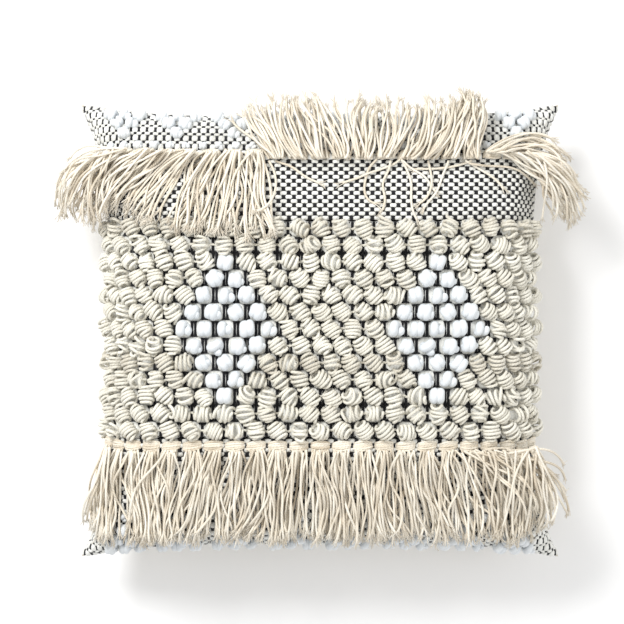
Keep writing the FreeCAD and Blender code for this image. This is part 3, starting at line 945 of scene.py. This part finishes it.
def wraps(name, y, seed):
    rng = np.random.default_rng(seed)
    made = joined(name, [wrap(tassel_x(k), y, rng) for k in range(TASSELS)])
    dress(made, FRINGE)
    return made


def cords_from(name, laid, rng):
    """One piece from laid cords, each a path and its radius, with their frayed ends."""
    paths = np.array([path for path, _ in laid])
    radii = np.array([np.full(STRAND_POINTS, radius) for _, radius in laid])
    cords = tube_arrays(paths, radii, sides=7, tint=rng.random(len(laid)))
    ends = [frayed_end(path, radius, rng) for path, radius in laid]
    made = dress(joined(name, [cords] + ends), FRINGE)
    return made


def fringe(name, relief, tassels, root_y, flow, length, rng, node):
    """Tassels laid cord by cord, in two pieces, one over the other, that stand for a node.

    flow gives (start, middle, end) headings in degrees for a root's x.
    """
    leans = {k: rng.normal(0, (9, 11, 13)) for k in tassels}
    for layer in ("under", "over"):
        laid = []
        for k in list(tassels) * (STRANDS // 2):
            x = tassel_x(k) + rng.uniform(-0.0095, 0.0095)
            root = front.place(np.array(x), np.array(root_y + rng.uniform(-0.002, 0.002)), 0.0035)
            radius = STRAND_RADIUS * rng.uniform(0.88, 1.1)
            path = lay_strand(relief, root, flow(x, rng) + leans[k], rng.uniform(*length), rng, radius)
            laid.append((path, radius))
        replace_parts(cords_from(f"{name}_{layer}", laid, rng), node)


# cords that have strayed from the flipped tassels over the checked band: root x and y, headings, length
STRAYS = [
    (0.066, 0.208, 250, 268, 335, 0.068),
    (0.095, 0.208, 262, 272, 280, 0.080),
    (0.093, 0.208, 225, 205, 195, 0.078),
    (0.097, 0.206, 345, 320, 300, 0.055),
    (0.178, 0.206, 205, 190, 178, 0.070),
    (0.150, 0.206, 250, 235, 255, 0.068),
    (0.170, 0.206, 325, 330, 300, 0.060),
    (0.175, 0.202, 345, 335, 350, 0.095),
    (-0.060, 0.206, 305, 240, 168, 0.085),
    (-0.052, 0.206, 318, 328, 332, 0.062),
    (0.082, 0.206, 240, 262, 250, 0.064),
    (0.126, 0.206, 290, 262, 240, 0.060),
]


def strays(relief):
    rng = np.random.default_rng(77)
    laid = []
    for x, y, *headings, length in STRAYS:
        root = front.place(np.array(x), np.array(y), 0.004)
        laid.append((lay_strand(relief, root, headings, length, rng, STRAND_RADIUS), STRAND_RADIUS))
    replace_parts(cords_from("stray_cords", laid, rng), "upper_fringe_flipped")


def between(x, table):
    """Headings for a root's x from a table of (x, start, middle, end)."""
    places = [row[0] for row in table]
    return np.array([np.interp(x, places, [row[k] for row in table]) for k in (1, 2, 3)])


LOWER_FLOW = [
    (-0.280, 262, 270, 277), (-0.200, 267, 269, 271), (0.0, 270, 270, 270), (0.170, 272, 272, 274),
    (0.280, 273, 268, 263),
]
UPPER_LEFT_FLOW = [
    (-0.279, 236, 258, 276), (-0.240, 214, 236, 264), (-0.215, 202, 224, 258), (-0.175, 196, 214, 248),
    (-0.150, 216, 240, 262), (-0.125, 242, 260, 266), (-0.075, 266, 270, 274), (-0.060, 290, 282, 270),
]
FLIPPED_FLOW = [
    (-0.055, 128, 122, 112), (-0.020, 120, 116, 108), (0.020, 108, 106, 100), (0.060, 92, 92, 92),
    (0.090, 40, 60, 86), (0.125, 46, 70, 90), (0.165, 84, 88, 92), (0.200, 110, 116, 120),
]
UPPER_RIGHT_FLOW = [
    (0.180, 4, -12, -32), (0.230, -14, -34, -56), (0.280, -50, -68, -84),
]


def lower_flow(x, rng):
    headings = between(x, LOWER_FLOW)
    if 0.150 < x < 0.250 and rng.random() < 0.4:
        headings = np.array([335, 312, 285]) + rng.normal(0, 12)
    return headings


def from_table(table):
    def flow(x, rng):
        return between(x, table) + rng.normal(0, 5)
    return flow


# ---------------------------------------------------------------- edge seam, zip and insert
def edge_places(count):
    """Places round the flat cloth's edge, and the direction along the edge at each."""
    share = (np.arange(count) + 0.5) / count * 4
    side, t = share.astype(int), (share % 1) * 2 - 1
    corners = np.array([[-1, -1], [1, -1], [1, 1], [-1, 1]])
    start, end = corners[side], corners[(side + 1) % 4]
    places = (start * (1 - t)[:, None] + end * (1 + t)[:, None]) / 2 * HALF
    return places, (end - start) / 2


def overcast_seam():
    """Short slanting stitches that join the two lips of the cover."""
    count = 440
    places, along = edge_places(count)
    at_zip = (places[:, 1] < -HALF * 0.99) & (np.abs(places[:, 0]) < 0.214)
    places, along = places[~at_zip], along[~at_zip]
    inward = -unit(places * np.stack([np.abs(along[:, 1]), np.abs(along[:, 0])], axis=-1))
    t = np.linspace(-1, 1, 7)
    paths = []
    for place, way, inside in zip(places, along, inward):
        cloth = place + inside * 0.0035 * np.abs(t)[:, None] + way * 0.0011 * t[:, None]
        top = front.place(cloth[:, 0], cloth[:, 1], 0.0022)
        under = back.place(cloth[:, 0], cloth[:, 1], 0.0006)
        paths.append(np.where(t[:, None] < 0, top, under))
    made = dress(joined("edge_stitches", [tube_arrays(np.array(paths), 0.00055, sides=6)]), THREAD)
    return made


COIL_PITCH = 0.0014


def zip_coil(name, side):
    """A nylon spiral along the edge of its tape."""
    low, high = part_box(f"zip_coil_{name}")
    turns = int((high.x - low.x) / COIL_PITCH)
    t = np.linspace(0, turns, turns * 10 + 1)
    angle = 2 * math.pi * t
    wire = 0.00034
    middle_y, middle_z = (low.y + high.y) / 2, (low.z + high.z) / 2
    path = np.stack([
        low.x + wire + (high.x - low.x - 2 * wire) * t / turns,
        middle_y + ((high.y - low.y) / 2 - wire) * np.cos(angle),
        middle_z + side * ((high.z - low.z) / 2 - wire) * np.sin(angle),
    ], axis=-1)
    made = dress(joined(f"zip_spiral_{name}", [tube_arrays(path[None], wire, sides=6)]), COIL)
    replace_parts(made, f"zip_coil_{name}")
    return made


def strip(name, low, high, cells, ripple):
    """A thin woven strip that fills a box, with a little ripple along it."""
    x = np.linspace(low.x, high.x, cells[0] + 1)
    z = np.linspace(low.z, high.z, cells[1] + 1)
    x, z = np.meshgrid(x, z, indexing="ij")
    wave = ripple * np.sin(x * 900) * np.cos(z * 700)
    face = np.stack([x, np.full_like(x, low.y) + ripple + wave, z], axis=-1)
    back_face = np.stack([x, np.full_like(x, high.y) - ripple + wave, z], axis=-1)
    return closed_pair(name, face, back_face)


def zip_tape(name):
    low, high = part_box(f"zip_tape_{name}")
    made = dress(strip(f"zip_band_{name}", low, high, (420, 12), 0.00005), TAPE)
    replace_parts(made, f"zip_tape_{name}")
    return made


def insert_layer(name, surface, inset, thickness, shortfall):
    """One panel of the insert's casing: the surface drawn in, with its outline short of the cover's seam."""
    made = shell(name, surface, -inset, thickness, cells=110, shrink=shortfall / HALF)
    return dress(made, COTTON)


def insert_fill(inset, shortfall):
    """The fibre fill: front and back in one closed, slightly lumpy body."""
    x, y = unit_grid(120)
    rng = np.random.default_rng(9)
    lumps = 0
    for _ in range(8):
        height = rng.uniform(0.2, 1.0)
        wave_x = np.sin(x * rng.uniform(4, 17) + rng.uniform(0, 6))
        wave_y = np.sin(y * rng.uniform(4, 17) + rng.uniform(0, 6))
        lumps = lumps + height * wave_x * wave_y
    lumps = lumps * 0.0006
    edge = np.minimum(1, 8 * np.minimum(1 - np.abs(x), 1 - np.abs(y)))
    points = []
    for surface in (front, back):
        layer = surface.place(x * HALF, y * HALF, -inset - (0.0025 + lumps) * edge)
        layer[..., :2] *= 1 - shortfall / HALF
        points.append(layer)
    middle = (points[0][..., 2] + points[1][..., 2]) / 2
    points[0][..., 2] = np.maximum(points[0][..., 2], middle + 0.0004)
    points[1][..., 2] = np.minimum(points[1][..., 2], middle - 0.0004)
    made = dress(closed_pair("fibre_fill", *points), COTTON)
    return made


# ---------------------------------------------------------------- putting it together
CLOTH_DROP = 0.0012              # the ground cloth lies this far under the yarns' middle

ground = dress(shell("front_ground", front, -CLOTH_DROP, 0.0008, cells=160), BLACK_CLOTH)
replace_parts(ground, "cover_front")

canvas = dress(shell("back_canvas", back, 0.0, 0.0012, cells=160), CANVAS)
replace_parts(canvas, "cover_back")

weave_pieces = woven_bands()
overcast_seam()

knot_pieces = [knot_row(row) for row in range(KNOT_ROWS)]
diamond_pieces = []
for name, centre in zip(("left", "right"), DIAMOND_CENTRES):
    diamond_pieces.append(diamond(f"{name}_diamond_roving", centre, 300))
    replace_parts(diamond_pieces[-1], f"{name}_diamond_bobbles")
upper_bobbles = band_bobbles("upper_band_roving", 1)
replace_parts(upper_bobbles, "upper_band_bobbles")
lower_bobbles = band_bobbles("lower_band_roving", -1)
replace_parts(lower_bobbles, "lower_band_bobbles")

upper_wraps = wraps("upper_fringe_wraps", UPPER_ROOT, 21)
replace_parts(upper_wraps, "upper_fringe_knots")
lower_wraps = wraps("lower_fringe_wraps", LOWER_ROOT, 22)
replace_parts(lower_wraps, "lower_fringe_knots")

relief = Relief()
line = np.linspace(-HALF, HALF, 900)
relief.add(front.place(*np.meshgrid(line, line, indexing="ij")))
band_pieces = [upper_bobbles, lower_bobbles, upper_wraps, lower_wraps]
for piece in weave_pieces + knot_pieces + diamond_pieces + band_pieces:
    relief.add_object(piece)

rng = np.random.default_rng(7)
# piece, tassels, y of the roots, headings, shortest and longest cord, CAD node
TASSEL_GROUPS = [
    ("lower_cords", range(TASSELS), LOWER_ROOT - 0.006, lower_flow, (0.106, 0.120), "lower_fringe"),
    ("upper_left_cords", range(0, 9), UPPER_ROOT + 0.006, from_table(UPPER_LEFT_FLOW), (0.096, 0.112),
     "upper_fringe_left"),
    ("upper_flipped_cords", range(9, 19), UPPER_ROOT - 0.004, from_table(FLIPPED_FLOW), (0.070, 0.088),
     "upper_fringe_flipped"),
    ("upper_right_cords", range(19, TASSELS), UPPER_ROOT + 0.003, from_table(UPPER_RIGHT_FLOW),
     (0.092, 0.108), "upper_fringe_right"),
]
for name, tassels, root_y, flow, length, node in TASSEL_GROUPS:
    fringe(name, relief, tassels, root_y, flow, length, rng, node)
strays(relief)

for name, side in (("upper", 1), ("lower", -1)):
    zip_coil(name, side)
    zip_tape(name)
for name in ("zip_slider", "zip_pull_tab", "zip_top_stops", "zip_bottom_stop"):
    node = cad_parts[name]
    node.data.materials.clear()
    node.data.materials.append(NICKEL)

for side, surface in (("front", front), ("back", back)):
    casing = insert_layer(f"casing_{side}", surface, 0.0026, 0.0006, 0.015)
    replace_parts(casing, f"insert_casing_{side}")
fill = insert_fill(0.0035, 0.016)
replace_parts(fill, "insert_fill")


# ---------------------------------------------------------------- floor, light and camera
def area_light(name, place, aim, size, power):
    data = bpy.data.lights.new(name, "AREA")
    data.shape = "DISK"
    data.size = size
    data.energy = power
    light = bpy.data.objects.new(name, data)
    bpy.context.scene.collection.objects.link(light)
    light.location = place
    light.rotation_euler = (Vector(aim) - Vector(place)).to_track_quat("-Z", "Y").to_euler()
    return light


def studio():
    material = Nodes("pale_floor")
    grain = material.noise(material.place((1, 1, 1)), 3.0)
    shade = material.ramp(grain, [(0.0, (0.90, 0.90, 0.90)), (1.0, (0.93, 0.93, 0.93))])
    floor_material = material.finish(shade, 0.9)
    edge = 6.0
    corners = [(-edge, -edge, 0), (edge, -edge, 0), (edge, edge, 0), (-edge, edge, 0)]
    floor = new_mesh("floor", corners, [[0, 1, 2, 3]])
    floor.data.materials.append(floor_material)
    world = bpy.data.worlds.new("studio")
    world.use_nodes = True
    world.node_tree.nodes["Background"].inputs["Color"].default_value = (1.0, 1.0, 1.0, 1)
    world.node_tree.nodes["Background"].inputs["Strength"].default_value = 0.68
    bpy.context.scene.world = world
    bpy.context.scene.view_settings.view_transform = "Standard"
    area_light("key", (-1.3, 1.5, 2.4), (0, 0, 0.1), 1.4, 80)
    area_light("fill", (1.8, -0.6, 2.2), (0, 0, 0.1), 2.4, 24)


def camera():
    data = bpy.data.cameras.new("camera")
    data.sensor_width = 36
    data.lens = 200
    made = bpy.data.objects.new("camera", data)
    bpy.context.scene.collection.objects.link(made)
    made.location = (-0.010, 0.020, VIEW_WIDTH * data.lens / data.sensor_width + 0.12)
    data.clip_end = 20
    bpy.context.scene.camera = made


VIEW_WIDTH = 0.774
studio()
camera()
